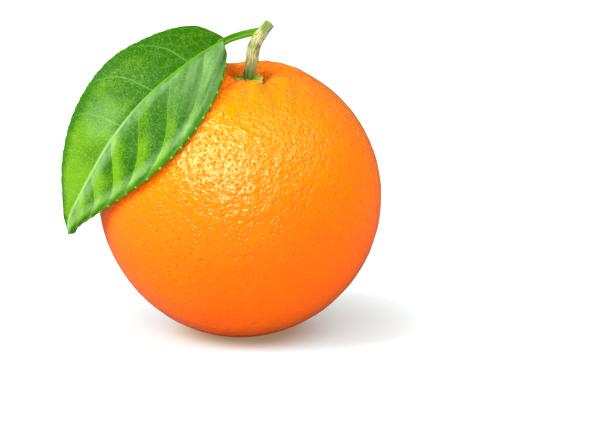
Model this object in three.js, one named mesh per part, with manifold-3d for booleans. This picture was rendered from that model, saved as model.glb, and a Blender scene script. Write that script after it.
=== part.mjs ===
// An orange as picked: the fruit, the green calyx in its stem basin, a short cut twig and a leaf on its petiole.
//
// Units are millimetres and +Z is up. The origin is the centre of the small flat spot that the fruit rests on.
// The fruit and the calyx are formed round the fruit's own axis, which leans forward and a little to the right.

import * as THREE from 'three';
import { mergeVertices } from 'three/addons/utils/BufferGeometryUtils.js';
import Module from 'manifold-3d';

// Fruit
const EQUATOR_RADIUS = 40;
const POLE_RADIUS = 39.8;
const FLAT_SPOT_RADIUS = 6;
const STEM_AXIS = new THREE.Vector3(0.086, -0.208, 0.974).normalize();

// Stem basin: a wide shallow dish, a steep narrow hollow in it, and furrows that run out from the hollow.
// Each furrow lies at an angle round the fruit's axis, and is deepest at peak millimetres from that axis.
const DISH_DEPTH = 0.6;
const DISH_REACH = 15;
const HOLLOW_DEPTH = 4.4;
const HOLLOW_REACH = 5.8;
const HOLLOW_STEEPNESS = 8;
const FURROWS = [
	{ around: 112, depth: 1.8, spread: 28, peak: 14 },
	{ around: 56, depth: 0.7, spread: 8, peak: 8 },
	{ around: 30, depth: 0.45, spread: 7, peak: 10 },
	{ around: 6, depth: 0.35, spread: 8, peak: 9 },
	{ around: -36, depth: 0.8, spread: 9, peak: 7 },
	{ around: -66, depth: 0.35, spread: 8, peak: 8 },
	{ around: -97, depth: 0.4, spread: 6, peak: 7 },
	{ around: -121, depth: 0.7, spread: 8, peak: 7.5 },
	{ around: -152, depth: 0.45, spread: 8, peak: 8 },
	{ around: 170, depth: 0.4, spread: 9, peak: 9 },
	{ around: 138, depth: 0.4, spread: 8, peak: 9 },
];

// Slight unevenness of the whole fruit, and the blossom scar at its lower pole
const LUMP_HEIGHT = 0.35;
const LUMP_PHASE = -2.4;
const SCAR_DEPTH = 0.5;
const SCAR_REACH = 2.2;

// Calyx
const CALYX_LOBES = 5;
const LOBE_RADIUS = 5.1;
const NOTCH_RADIUS = 3.5;
const CALYX_THICKNESS = 1.2;

// Stem: its path from the calyx to the cut, and its radii at the foot, the middle and the cut
const STEM_PATH = [
	new THREE.Vector3(2.9, -7.6, 75.1),
	new THREE.Vector3(3.6, -9.2, 79.7),
	new THREE.Vector3(4.2, -9.9, 83.5),
	new THREE.Vector3(5.2, -9.7, 85.7),
	new THREE.Vector3(6.7, -9.1, 87.7),
	new THREE.Vector3(8.7, -7.7, 89.9),
];
const STEM_FOOT_RADIUS = 1.75;
const STEM_RADIUS = 1.85;
const STEM_CUT_RADIUS = 1.45;
const STEM_RIBS = 5;
const STEM_RIB_HEIGHT = 0.14;

// Petiole
const PETIOLE_PATH = [
	new THREE.Vector3(4.9, -9.2, 87.4),
	new THREE.Vector3(2.4, -9.5, 87.0),
	new THREE.Vector3(-0.1, -9.9, 86.5),
	new THREE.Vector3(-2.3, -10.4, 85.9),
	new THREE.Vector3(-4.3, -10.9, 85.3),
];
const PETIOLE_HALF_WIDTH = 1.1;
const PETIOLE_HALF_HEIGHT = 0.85;
const PETIOLE_GROOVE = 0.3;

// Leaf: the midrib's path from foot to tip, and its two halves. A half's widths are taken at even steps of
// the row number. Its side veins leave the midrib at even steps, slant towards the tip and bend further that way.
const MIDRIB_PATH = [
	new THREE.Vector3(-4.6, -11.0, 85.2),
	new THREE.Vector3(-13.3, -17.2, 80.4),
	new THREE.Vector3(-24.7, -22.0, 71.5),
	new THREE.Vector3(-34.4, -23.6, 60.0),
	new THREE.Vector3(-41.7, -18.4, 47.3),
	new THREE.Vector3(-47.0, -12.5, 36.6),
	new THREE.Vector3(-48.0, -10.4, 31.0),
];
const LEAF_RIGHT = new THREE.Vector3(0.64, -0.54, -0.55).normalize();
const RIGHT_HALF = {
	widths: [1.8, 4.5, 9.4, 14.8, 18.1, 17.6, 13.0, 8.4, 4.8, 2.4, 0.8],
	firstVein: 6.6,
	veinSpacing: 12.3,
	veinSlant: 0.93,
	veinBend: 0,
	quilting: 0.8,
};
const LEFT_HALF = {
	widths: [5.4, 8.6, 11.6, 14.3, 16.5, 15.8, 13.6, 9.8, 4.8, 1.6, 0.8],
	firstVein: 12.5,
	veinSpacing: 13,
	veinSlant: 0.26,
	veinBend: 0.03,
	quilting: 0.35,
};
const BLADE_THICKNESS = 0.7;
const MIDRIB_HEIGHT = 1.0;
const MIDRIB_HALF_WIDTH = 0.9;
const FOLD_DEGREES = 3;
const MARGIN_CURL = 0.8;
const TOOTH_SPACING = 3.8;
const TOOTH_DEPTH = 0.3;

// Gap that keeps neighbouring pieces apart
const GAP = 0.3;

const wasm = await Module();
wasm.setup();

/** A closed geometry as a solid that can be joined and cut. */
function solidFrom(geometry) {

	const bare = geometry.clone();
	bare.deleteAttribute('normal');
	bare.deleteAttribute('uv');
	const merged = mergeVertices(bare, 1e-4);
	const mesh = new wasm.Mesh({
		numProp: 3,
		vertProperties: new Float32Array(merged.attributes.position.array),
		triVerts: new Uint32Array(merged.index.array),
	});
	return new wasm.Manifold(mesh);

}

/** A solid back as a geometry, flat shaded. */
function geometryFrom(solid) {

	const mesh = solid.getMesh();
	const geometry = new THREE.BufferGeometry();
	geometry.setAttribute('position', new THREE.BufferAttribute(mesh.vertProperties, 3));
	geometry.setIndex(new THREE.BufferAttribute(mesh.triVerts, 1));
	return geometry;

}

/** Moves every vertex of a geometry to where place(vertex) puts it. */
function remap(geometry, place) {

	const position = geometry.attributes.position;
	const vertex = new THREE.Vector3();
	for (let index = 0; index < position.count; index++) {

		vertex.fromBufferAttribute(position, index);
		const moved = place(vertex);
		position.setXYZ(index, moved.x, moved.y, moved.z);

	}

	return geometry;

}

/** The unit direction at an angle from the fruit's axis and an angle around it. */
function direction(polar, around) {

	return new THREE.Vector3(
		Math.sin(polar) * Math.cos(around),
		Math.sin(polar) * Math.sin(around),
		Math.cos(polar),
	);

}

/** How deep the furrows round the stem basin cut in. */
function furrowDepth(arc, around) {

	let depth = 0;
	for (const furrow of FURROWS) {

		const offset = THREE.MathUtils.radToDeg(around) - furrow.around;
		const apart = THREE.MathUtils.euclideanModulo(offset + 180, 360) - 180;
		const reach = (arc / furrow.peak) ** 2;
		depth += furrow.depth * reach * Math.exp(1 - reach - (apart / furrow.spread) ** 2);

	}

	return depth;

}

/** The peel's distance from the fruit's centre. */
function peelRadius(polar, around) {

	const arc = polar * EQUATOR_RADIUS;
	const spheroid = 1 / Math.hypot(Math.sin(polar) / EQUATOR_RADIUS, Math.cos(polar) / POLE_RADIUS);
	const dish = DISH_DEPTH * Math.exp(-((arc / DISH_REACH) ** 2));
	const hollow = HOLLOW_DEPTH / (1 + (arc / HOLLOW_REACH) ** HOLLOW_STEEPNESS);
	const lumps = LUMP_HEIGHT * Math.sin(polar) * Math.cos(2 * around + 2 * polar + LUMP_PHASE);
	const scarArc = (Math.PI - polar) * EQUATOR_RADIUS;
	const scar = SCAR_DEPTH * Math.exp(-((scarArc / SCAR_REACH) ** 2));
	return spheroid - dish - hollow - furrowDepth(arc, around) + lumps - scar;

}

const tilt = new THREE.Quaternion().setFromUnitVectors(new THREE.Vector3(0, 0, 1), STEM_AXIS);
const downInFruit = new THREE.Vector3(0, 0, -1).applyQuaternion(tilt.clone().invert());
const downRadius = peelRadius(
	Math.acos(downInFruit.z),
	Math.atan2(downInFruit.y, downInFruit.x),
);
const REST_HEIGHT = Math.sqrt(downRadius ** 2 - FLAT_SPOT_RADIUS ** 2);

/** The fruit round its own axis, with rings drawn closer at both poles and the flat spot cut. */
function fruitGeometry() {

	const sides = 64;
	const rings = 46;
	const crowding = 0.7;
	const ball = new THREE.SphereGeometry(1, sides, rings).rotateX(Math.PI / 2);
	remap(ball, (vertex) => {

		const share = Math.acos(THREE.MathUtils.clamp(vertex.z, -1, 1)) / Math.PI;
		const polar = Math.PI * share - crowding * Math.sin(2 * Math.PI * share) / 2;
		const around = Math.atan2(vertex.y, vertex.x);
		return direction(polar, around).multiplyScalar(peelRadius(polar, around));

	});
	const blockSize = 60;
	const floor = new THREE.BoxGeometry(blockSize, blockSize, blockSize)
		.translate(0, 0, -REST_HEIGHT - blockSize / 2)
		.applyQuaternion(tilt.clone().invert());
	return geometryFrom(solidFrom(ball).subtract(solidFrom(floor)));

}

/** The calyx round the fruit's axis: a lobed lens that follows the floor of the basin. */
function calyxGeometry() {

	const ball = new THREE.SphereGeometry(1, 50, 9).rotateX(Math.PI / 2);
	return remap(ball, (vertex) => {

		const around = Math.atan2(vertex.y, vertex.x);
		const lobe = 0.5 + 0.5 * Math.cos(CALYX_LOBES * around);
		const edge = THREE.MathUtils.lerp(NOTCH_RADIUS, LOBE_RADIUS, Math.sqrt(lobe));
		const polar = Math.hypot(vertex.x, vertex.y) * edge / EQUATOR_RADIUS;
		const height = GAP + CALYX_THICKNESS * (1 + vertex.z) / 2;
		return direction(polar, around).multiplyScalar(peelRadius(polar, around) + height);

	});

}

/** A curve's frame at a share of its length, with its side turned as near to the given right as it can be. */
function frameAt(curve, share, right) {

	const point = curve.getPointAt(share);
	const along = curve.getTangentAt(share);
	const side = right.clone().addScaledVector(along, -right.dot(along)).normalize();
	const facing = along.clone().cross(side);
	return { point, along, side, facing };

}

/** A closed rod along a curve. section(share, angle) gives its outline's offsets in the curve's frame. */
function rodGeometry(curve, right, sides, steps, section) {

	const rod = new THREE.CylinderGeometry(1, 1, 1, sides, steps);
	return remap(rod, (vertex) => {

		const share = 0.5 - vertex.y;
		const frame = frameAt(curve, share, right);
		const reach = Math.hypot(vertex.x, vertex.z);
		const offset = section(share, Math.atan2(vertex.z, vertex.x));
		return frame.point
			.addScaledVector(frame.side, offset.side * reach)
			.addScaledVector(frame.facing, offset.facing * reach);

	});

}

/** The ribbed twig with its plain cut end, or the same twig fatter by extra all round. */
function stemGeometry(extra = 0) {

	const curve = new THREE.CatmullRomCurve3(STEM_PATH, false, 'catmullrom');
	return rodGeometry(curve, new THREE.Vector3(1, 0, 0), 15, 20, (share, angle) => {

		const nearFoot = (STEM_FOOT_RADIUS - STEM_RADIUS) * THREE.MathUtils.smoothstep(1 - share, 0.5, 1);
		const nearCut = (STEM_CUT_RADIUS - STEM_RADIUS) * THREE.MathUtils.smoothstep(share, 0.5, 1);
		const rib = STEM_RIB_HEIGHT * Math.cos(STEM_RIBS * angle + share);
		const radius = STEM_RADIUS + nearFoot + nearCut + rib + extra;
		return { side: radius * Math.cos(angle), facing: radius * Math.sin(angle) };

	});

}

/** The leaf stalk, grooved along its upper side and trimmed clear of the twig. */
function petioleGeometry() {

	const curve = new THREE.CatmullRomCurve3(PETIOLE_PATH, false, 'catmullrom');
	const right = new THREE.Vector3(0, -0.5, -1).normalize();
	const rod = rodGeometry(curve, right, 14, 14, (share, angle) => {

		const groove = PETIOLE_GROOVE * Math.exp(-((angle - Math.PI / 2) ** 2) / 0.2);
		return {
			side: PETIOLE_HALF_WIDTH * Math.cos(angle),
			facing: (PETIOLE_HALF_HEIGHT - groove) * Math.sin(angle),
		};

	});
	return geometryFrom(solidFrom(rod).subtract(solidFrom(stemGeometry(GAP))));

}

/** The share of the midrib's length at a row angle that runs evenly from 0 at the foot to 1 at the tip. */
function lengthShare(row) {

	return (1 - Math.cos(Math.PI * row)) / 2;

}

/** A smooth line through evenly spaced values. */
function smoothValue(values, row) {

	const points = values.map((value, index) => new THREE.Vector2(index, value));
	return new THREE.SplineCurve(points).getPoint(row).y;

}

/** How far the blade bulges between the side veins of a half, at a fraction of that half's width. */
function quiltingHeight(half, fraction, across, distance) {

	const along = distance - half.firstVein - half.veinSlant * across - half.veinBend * across ** 2;
	const envelope = Math.sin(Math.PI * fraction) ** 0.7;
	return -0.5 * half.quilting * envelope * Math.cos(2 * Math.PI * along / half.veinSpacing);

}

/** The blade: a thickened grid over the midrib's path, with a waved and toothed margin and a rib below. */
function leafGeometry() {

	const rows = 60;
	const columns = 20;
	const crowding = 1.4;
	const curve = new THREE.CatmullRomCurve3(MIDRIB_PATH, false, 'catmullrom');
	const length = curve.getLength();
	const upper = new THREE.PlaneGeometry(2, 1, columns, rows);
	const lower = upper.clone();
	const position = upper.attributes.position;
	for (let index = 0; index < position.count; index++) {

		const row = 0.5 - position.getY(index);
		const side = Math.sign(position.getX(index));
		const fraction = Math.min(1, Math.abs(position.getX(index))) ** crowding;
		const share = lengthShare(row);
		const distance = share * length;
		const frame = frameAt(curve, share, LEAF_RIGHT);
		const half = side > 0 ? RIGHT_HALF : LEFT_HALF;
		const tooth = TOOTH_DEPTH * Math.sin(Math.PI * row) * Math.sin(2 * Math.PI * distance / TOOTH_SPACING);
		const across = fraction * (smoothValue(half.widths, row) + tooth);
		const fold = across * Math.tan(THREE.MathUtils.degToRad(FOLD_DEGREES));
		const curl = MARGIN_CURL * fraction ** 4;
		const lift = fold - curl + quiltingHeight(half, fraction, across, distance);
		const centre = frame.point
			.addScaledVector(frame.side, side * across)
			.addScaledVector(frame.facing, lift);
		const rib = MIDRIB_HEIGHT * Math.exp(-((across / MIDRIB_HALF_WIDTH) ** 2)) * (1 - 0.7 * share);
		const top = centre.clone().addScaledVector(frame.facing, BLADE_THICKNESS / 2);
		const bottom = centre.clone().addScaledVector(frame.facing, -BLADE_THICKNESS / 2 - rib);
		position.setXYZ(index, top.x, top.y, top.z);
		lower.attributes.position.setXYZ(index, bottom.x, bottom.y, bottom.z);

	}

	return joinFaces(upper, lower, columns, rows);

}

/** The two triangles of a grid cell, split along the slant of the side veins of its half. */
function cellTriangles(first, wide, isLeft) {

	const [a, b, c, d] = [first, first + wide, first + wide + 1, first + 1];
	return isLeft ? [[a, b, d], [b, c, d]] : [[a, b, c], [a, c, d]];

}

/** One closed body from two like grids: the upper one, the lower one turned over, and a rim between them. */
function joinFaces(upper, lower, columns, rows) {

	const count = upper.attributes.position.count;
	const wide = columns + 1;
	const indices = [];
	for (let row = 0; row < rows; row++) {

		for (let column = 0; column < columns; column++) {

			for (const [a, b, c] of cellTriangles(row * wide + column, wide, column < columns / 2)) {

				indices.push(a, b, c, count + a, count + c, count + b);

			}

		}

	}

	const rim = [];
	for (let column = 0; column < columns; column++) rim.push(column);
	for (let row = 0; row < rows; row++) rim.push(row * wide + columns);
	for (let column = columns; column > 0; column--) rim.push(rows * wide + column);
	for (let row = rows; row > 0; row--) rim.push(row * wide);
	rim.forEach((here, place) => {

		const next = rim[(place + 1) % rim.length];
		indices.push(here, next, count + next, here, count + next, count + here);

	});
	const geometry = new THREE.BufferGeometry();
	const positions = [...upper.attributes.position.array, ...lower.attributes.position.array];
	geometry.setAttribute('position', new THREE.Float32BufferAttribute(positions, 3));
	geometry.setIndex(indices);
	return geometry;

}

/** A named mesh with its own material. */
function piece(name, geometry, color, roughness) {

	geometry.computeVertexNormals();
	const mesh = new THREE.Mesh(geometry, new THREE.MeshStandardMaterial({ color, roughness, metalness: 0 }));
	mesh.name = name;
	return mesh;

}

const fruitAxes = new THREE.Group();
fruitAxes.position.z = REST_HEIGHT;
fruitAxes.quaternion.copy(tilt);
fruitAxes.add(
	piece('fruit', fruitGeometry(), 0xfd8c04, 0.42),
	piece('calyx', calyxGeometry(), 0x6f8c1a, 0.6),
);

const orange = new THREE.Group();
orange.add(
	fruitAxes,
	piece('stem', stemGeometry(), 0xa9ab5e, 0.75),
	piece('petiole', petioleGeometry(), 0x5e9a12, 0.45),
	piece('leaf', leafGeometry(), 0x5ba32b, 0.4),
);

export default orange;
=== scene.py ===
# %% [markdown]
# # An orange with its stem and one leaf
#
# This notebook dresses a whole orange as it is picked: the pitted peel, the green calyx in the stem basin,
# a short cut twig, and one leaf on its stalk. The solids come from the frame, in metres. Every piece here
# is built in the same place and replaces its plain solid.

import math

import bmesh
import bpy
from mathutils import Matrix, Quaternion, Vector, noise


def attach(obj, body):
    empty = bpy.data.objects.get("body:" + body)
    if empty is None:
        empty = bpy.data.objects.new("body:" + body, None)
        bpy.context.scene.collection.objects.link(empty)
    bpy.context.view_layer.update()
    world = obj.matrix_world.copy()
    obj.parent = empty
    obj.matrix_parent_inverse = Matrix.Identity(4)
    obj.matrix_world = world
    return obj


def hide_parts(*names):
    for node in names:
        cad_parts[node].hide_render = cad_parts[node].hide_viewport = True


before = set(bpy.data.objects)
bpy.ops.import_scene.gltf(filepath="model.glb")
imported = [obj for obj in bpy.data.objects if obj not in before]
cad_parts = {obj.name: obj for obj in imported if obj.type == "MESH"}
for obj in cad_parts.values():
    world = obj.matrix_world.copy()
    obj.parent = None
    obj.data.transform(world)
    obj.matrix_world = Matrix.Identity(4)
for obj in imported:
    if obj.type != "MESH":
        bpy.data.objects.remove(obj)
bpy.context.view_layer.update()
MM = 0.001

# %% [markdown]
# ## Small tools
#
# Colours are picked as sRGB hex values, and shaders want them linear, so one function turns them over.
# Another adds a shader node with its settings and its links in one line. It leaves the linking to a third,
# which also serves nodes that are already there. The last tool turns a finished bmesh into a smooth-shaded
# object that rides on the fruit's body and stands for one solid.

# %% Colours, nodes and pieces
# Settings that many nodes share
SMOOTH = {"interpolation_type": "SMOOTHSTEP"}
COLORS = {"data_type": "RGBA"}
PLUS = {"operation": "ADD"}
TIMES = {"operation": "MULTIPLY"}
TIMES_PLUS = {"operation": "MULTIPLY_ADD"}
LARGER = {"operation": "MAXIMUM"}
ABSOLUTE = {"operation": "ABSOLUTE"}
DISTANCE = {"operation": "DISTANCE"}


def linear(hex_color):
    """An sRGB hex colour as a linear RGBA tuple."""
    parts = [int(hex_color[place:place + 2], 16) / 255 for place in (1, 3, 5)]
    steps = [part / 12.92 if part <= 0.04045 else ((part + 0.055) / 1.055) ** 2.4 for part in parts]
    return (*steps, 1.0)


def connect(tree, node, *numbered, **named):
    """Fills a node's inputs, in their order or by name. A node or a socket as the value makes a link.

    Inputs that the node's settings switch off are passed over.
    """
    sockets = [socket for socket in node.inputs if socket.enabled]
    by_name = {socket.name: socket for socket in sockets}
    pairs = list(zip(sockets, numbered))
    for name, value in named.items():
        pairs.append((by_name[name.replace("_", " ")], value))
    for socket, value in pairs:
        if isinstance(value, bpy.types.Node):
            value = next(output for output in value.outputs if output.enabled)
        if isinstance(value, bpy.types.NodeSocket):
            tree.links.new(value, socket)
        else:
            socket.default_value = value


def add(tree, kind, settings=None, *numbered, **named):
    """Adds a node with its settings, and fills its inputs."""
    node = tree.nodes.new(kind)
    for name, value in (settings or {}).items():
        setattr(node, name, value)
    connect(tree, node, *numbered, **named)
    return node


def new_material(name):
    """An empty material with its output and its main shader."""
    material = bpy.data.materials.new(name)
    material.use_nodes = True
    tree = material.node_tree
    tree.nodes.clear()
    shader = add(tree, "ShaderNodeBsdfPrincipled")
    add(tree, "ShaderNodeOutputMaterial", None, Surface=shader)
    return material, tree, shader


def finish_piece(name, bm, material, node):
    """Makes the bmesh an object that stands for one solid."""
    mesh = bpy.data.meshes.new(name)
    bm.to_mesh(mesh)
    bm.free()
    mesh.shade_smooth()
    mesh.materials.append(material)
    piece = bpy.data.objects.new(name, mesh)
    bpy.context.scene.collection.objects.link(piece)
    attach(piece, "root")
    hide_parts(node)
    print(name, "has", len(mesh.polygons), "faces")


# %% [markdown]
# ## The camera
#
# The photo looks a little down on the fruit with a long lens, so that near and far things are almost the
# same size. The camera stands 0.72 m off, 12 degrees above the level, and is moved in its own plane until
# the fruit lies left of the middle, as it does in the photo.

# %% Camera
FRUIT_CENTRE = Vector((0, 0, 39.4)) * MM
CAMERA_ELEVATION = math.radians(12)
CAMERA_DISTANCE = 0.72
CAMERA_RIGHT = 0.0171
CAMERA_UP = -0.0071
SENSOR_WIDTH = 36
LENS_LENGTH = 151.7

camera_data = bpy.data.cameras.new("camera")
camera_data.sensor_width = SENSOR_WIDTH
camera_data.lens = LENS_LENGTH
camera = bpy.data.objects.new("camera", camera_data)
camera.rotation_euler = (math.pi / 2 - CAMERA_ELEVATION, 0, 0)
turn = camera.rotation_euler.to_matrix()
camera.location = FRUIT_CENTRE + turn @ Vector((CAMERA_RIGHT, CAMERA_UP, CAMERA_DISTANCE))
bpy.context.scene.collection.objects.link(camera)
bpy.context.scene.camera = camera
print("camera at", tuple(round(value, 3) for value in camera.location))

# %% [markdown]
# ## The floor
#
# The fruit stands on a seamless white surface. The board glows as a white sweep lit from all sides would
# look, which is painted light. The glow is weaker close to the fruit, a painted shadow round its foot, and
# there the glow and the board turn warm, a painted reflection of the warm light that the peel throws back.
# It hardly shows in reflections, so that the peel keeps its deep colour. Seen from below it is clear, so
# that the fruit's underside can be looked at.

# %% White board
FLOOR_SIZE = 6.0
SHADOW_FROM = 20 * MM
SHADOW_TO = 110 * MM
WARM_FROM = 12 * MM
WARM_TO = 26 * MM
LOST_IN_REFLECTIONS = 0.975

board, tree, shader = new_material("matt white board")
place = add(tree, "ShaderNodeTexCoord").outputs["Object"]
reach = add(tree, "ShaderNodeVectorMath", {"operation": "LENGTH"}, place)
# Painted light: the glow is weaker near the fruit, a painted shadow, and warm there, a painted reflection of
# the peel
painted_glow = add(tree, "ShaderNodeMapRange", SMOOTH, Value=reach, From_Min=SHADOW_FROM, From_Max=SHADOW_TO,
           To_Min=0.24, To_Max=1.12)
far = add(tree, "ShaderNodeMapRange", SMOOTH, Value=reach, From_Min=WARM_FROM, From_Max=WARM_TO)
board_color = add(tree, "ShaderNodeMix", COLORS, far, linear("#ACACA2"), linear("#ABB8B8"))
painted_glow_color = add(tree, "ShaderNodeMix", COLORS, far, linear("#FFE7BC"), linear("#FFFFFF"))
connect(tree, shader, Base_Color=board_color, Roughness=0.9, Specular_IOR_Level=0.0,
        Emission_Color=painted_glow_color, Emission_Strength=painted_glow)
in_reflection = add(tree, "ShaderNodeLightPath").outputs["Is Glossy Ray"]
dim = add(tree, "ShaderNodeMath", TIMES, in_reflection, LOST_IN_REFLECTIONS)
black = add(tree, "ShaderNodeEmission", None, Strength=0.0)
from_above = add(tree, "ShaderNodeMixShader", None, dim, shader, black)
from_below = add(tree, "ShaderNodeBsdfTransparent")
below = add(tree, "ShaderNodeNewGeometry").outputs["Backfacing"]
both_sides = add(tree, "ShaderNodeMixShader", None, below, from_above, from_below)
connect(tree, tree.nodes["Material Output"], Surface=both_sides)

floor_bm = bmesh.new()
bmesh.ops.create_grid(floor_bm, x_segments=1, y_segments=1, size=FLOOR_SIZE / 2)
floor_mesh = bpy.data.meshes.new("floor")
floor_bm.to_mesh(floor_mesh)
floor_bm.free()
floor_mesh.materials.append(board)
floor = bpy.data.objects.new("floor", floor_mesh)
bpy.context.scene.collection.objects.link(floor)
print("the floor is", FLOOR_SIZE, "m wide")

# %% [markdown]
# ## The light
#
# A wide softbox hangs in front of the fruit and above it. That softbox and its brighter core draw the
# broad, broken highlight across the peel, and a thin strip carries the sparkle on to the right. Two more,
# from the upper left and the upper right, shape the fruit without a reflection of their own. The studio
# around it is pale, and white where the camera sees it.


# %% Softboxes
def softbox(name, direction, distance, size, power, roll=0, shades=True, reflects=True):
    """A rectangular light that faces the fruit from a direction given as right, near and up."""
    data = bpy.data.lights.new(name, "AREA")
    data.shape = "RECTANGLE"
    data.size, data.size_y = size
    data.energy = power
    lamp = bpy.data.objects.new(name, data)
    right, near, up = direction
    away = Vector((right, -near, up)).normalized()
    spin = Quaternion((0, 0, 1), math.radians(roll))
    lamp.location = FRUIT_CENTRE + away * distance
    lamp.rotation_euler = (away.to_track_quat("Z", "Y") @ spin).to_euler()
    lamp.visible_diffuse = shades
    lamp.visible_glossy = reflects
    bpy.context.scene.collection.objects.link(lamp)


softbox("softbox over the front", (-0.34, 0.70, 0.63), 1.0, (1.35, 0.5), 12, roll=-22)
softbox("bright core of the front softbox", (-0.34, 0.72, 0.60), 0.99, (1.2, 0.4), 7, roll=-22, shades=False)
softbox("strip of light towards the right", (0.50, 0.38, 0.77), 1.0, (0.8, 0.12), 2, roll=-8, shades=False)
softbox("softbox from the upper left", (-0.80, 0.36, 0.56), 1.0, (0.55, 0.55), 15, reflects=False)
softbox("softbox from the upper right", (0.58, 0.25, 0.76), 1.1, (0.9, 0.7), 11, reflects=False)
print(len(bpy.data.lights), "softboxes")

# %% Pale surroundings
FILL_LIGHT = 0.16
FILL_IN_REFLECTIONS = 0.02

world = bpy.data.worlds.new("white studio")
world.use_nodes = True
world_tree = world.node_tree
world_tree.nodes.clear()
ray = add(world_tree, "ShaderNodeLightPath")
fill = add(world_tree, "ShaderNodeMapRange", None, Value=ray.outputs["Is Glossy Ray"],
           To_Min=FILL_LIGHT, To_Max=FILL_IN_REFLECTIONS)
level = add(world_tree, "ShaderNodeMath", LARGER, fill, ray.outputs["Is Camera Ray"])
backdrop = add(world_tree, "ShaderNodeBackground", None, Color=(1, 1, 1, 1), Strength=level)
add(world_tree, "ShaderNodeOutputWorld", None, Surface=backdrop)
bpy.context.scene.world = world
bpy.context.scene.view_settings.view_transform = "Standard"
print("the surroundings fill in at", FILL_LIGHT)

# %% [markdown]
# ## The fruit's form
#
# An orange is nearly a ball. Its stem sits in a steep little hollow inside a wide shallow dish, and
# furrows run out from the hollow between knuckles of thick peel. All of that is one formula: the peel's
# distance from the fruit's centre, for an angle from the fruit's own axis and an angle around it. Lengths
# are in millimetres until the points are placed.

# %% Peel formula
EQUATOR_RADIUS = 40
POLE_RADIUS = 39.8
FLAT_SPOT_RADIUS = 6
STEM_AXIS = Vector((0.086, -0.208, 0.974)).normalized()
DISH_DEPTH = 0.6
DISH_REACH = 15
HOLLOW_DEPTH = 4.4
HOLLOW_REACH = 5.8
HOLLOW_STEEPNESS = 8
LUMP_HEIGHT = 0.35
LUMP_PHASE = -2.4
SCAR_DEPTH = 0.5
SCAR_REACH = 2.2

# Each furrow: angle around the axis and its spread in degrees, depth, and distance of its deepest point
FURROWS = [
    (112, 28, 1.8, 14),
    (56, 8, 0.7, 8),
    (30, 7, 0.45, 10),
    (6, 8, 0.35, 9),
    (-36, 9, 0.8, 7),
    (-56, 13, 1.4, 7),
    (-97, 6, 0.4, 7),
    (-121, 8, 0.7, 7.5),
    (-152, 8, 0.45, 8),
    (170, 9, 0.4, 9),
    (138, 8, 0.4, 9),
]


def furrow_depth(arc, around):
    """How deep the furrows round the stem basin cut in."""
    depth = 0.0
    for angle, spread, furrow, peak in FURROWS:
        apart = (math.degrees(around) - angle + 180) % 360 - 180
        reach = (arc / peak) ** 2
        depth += furrow * reach * math.exp(1 - reach - (apart / spread) ** 2)
    return depth


def peel_radius(polar, around):
    """The peel's distance from the fruit's centre."""
    arc = polar * EQUATOR_RADIUS
    spheroid = 1 / math.hypot(math.sin(polar) / EQUATOR_RADIUS, math.cos(polar) / POLE_RADIUS)
    dish = DISH_DEPTH * math.exp(-((arc / DISH_REACH) ** 2))
    hollow = HOLLOW_DEPTH / (1 + (arc / HOLLOW_REACH) ** HOLLOW_STEEPNESS)
    lumps = LUMP_HEIGHT * math.sin(polar) * math.cos(2 * around + 2 * polar + LUMP_PHASE)
    scar_arc = (math.pi - polar) * EQUATOR_RADIUS
    scar = SCAR_DEPTH * math.exp(-((scar_arc / SCAR_REACH) ** 2))
    return spheroid - dish - hollow - furrow_depth(arc, around) + lumps - scar


def polar_angles(direction):
    """The angle from the axis and the angle around it of a unit direction."""
    return math.acos(max(-1.0, min(1.0, direction.z))), math.atan2(direction.y, direction.x)


tilt = Vector((0, 0, 1)).rotation_difference(STEM_AXIS)
down = tilt.inverted() @ Vector((0, 0, -1))
rest_height = math.sqrt(peel_radius(*polar_angles(down)) ** 2 - FLAT_SPOT_RADIUS ** 2)
print("the fruit's centre lies", round(rest_height, 2), "mm above the floor")

# %% [markdown]
# ## The fruit's mesh
#
# A cube split into a fine even grid and blown up to a ball has no poles, so the peel is drawn with the
# same care everywhere. Each point then goes to its place. Relief that is too fine for the solid is added
# on the way: faint swellings all over, and round the basin knuckles and longer rolls of peel. The flat
# spot is pressed in last.

# %% Fruit
GRID_CUTS = 126
SWELLING_SIZE = 5.0
SWELLING_HEIGHT = 0.10
KNUCKLE_SIZE = 3.0
KNUCKLE_HEIGHT = 0.5
ROLL_LENGTH = 7.0
ROLL_HEIGHT = 0.7
ROLLS_AROUND = 3.2
SHOULDER_ARC = 11
SHOULDER_SPREAD = 9


def peel_relief(spot, arc, around):
    """The height of the swellings, and of the knuckles and rolls that run out from the basin."""
    swelling = SWELLING_HEIGHT * noise.noise(spot / SWELLING_SIZE)
    by_basin = math.exp(-((arc - SHOULDER_ARC) / SHOULDER_SPREAD) ** 2)
    knuckle = KNUCKLE_HEIGHT * by_basin * noise.noise(spot / KNUCKLE_SIZE)
    circle = Vector((math.cos(around), math.sin(around), 0)) * ROLLS_AROUND
    roll = ROLL_HEIGHT * by_basin * noise.noise(circle + Vector((0, 0, arc / ROLL_LENGTH)))
    return swelling + knuckle + roll


def make_fruit():
    """The fruit as one closed skin, in metres."""
    bm = bmesh.new()
    bmesh.ops.create_cube(bm, size=2)
    bmesh.ops.subdivide_edges(bm, edges=bm.edges[:], cuts=GRID_CUTS, use_grid_fill=True)
    centre = Vector((0, 0, rest_height))
    for vert in bm.verts:
        even = Vector([math.tan(value * math.pi / 4) for value in vert.co])
        direction = even.normalized()
        polar, around = polar_angles(direction)
        radius = peel_radius(polar, around)
        radius += peel_relief(direction * radius, polar * EQUATOR_RADIUS, around)
        spot = centre + tilt @ direction * radius
        spot.z = max(spot.z, 0)
        vert.co = spot * MM
    return bm


fruit_bm = make_fruit()
print("the skin has", len(fruit_bm.verts), "points")

# %% [markdown]
# ## The relief of the peel
#
# Orange peel is a waxy skin over tiny oil glands, and each gland leaves a pit of about a millimetre. Cells
# draw the pits, and two sizes of noise draw the wrinkles between them and the grain on top. All three are
# bump, which is strongest at the shoulder and half as strong towards the base.

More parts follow.
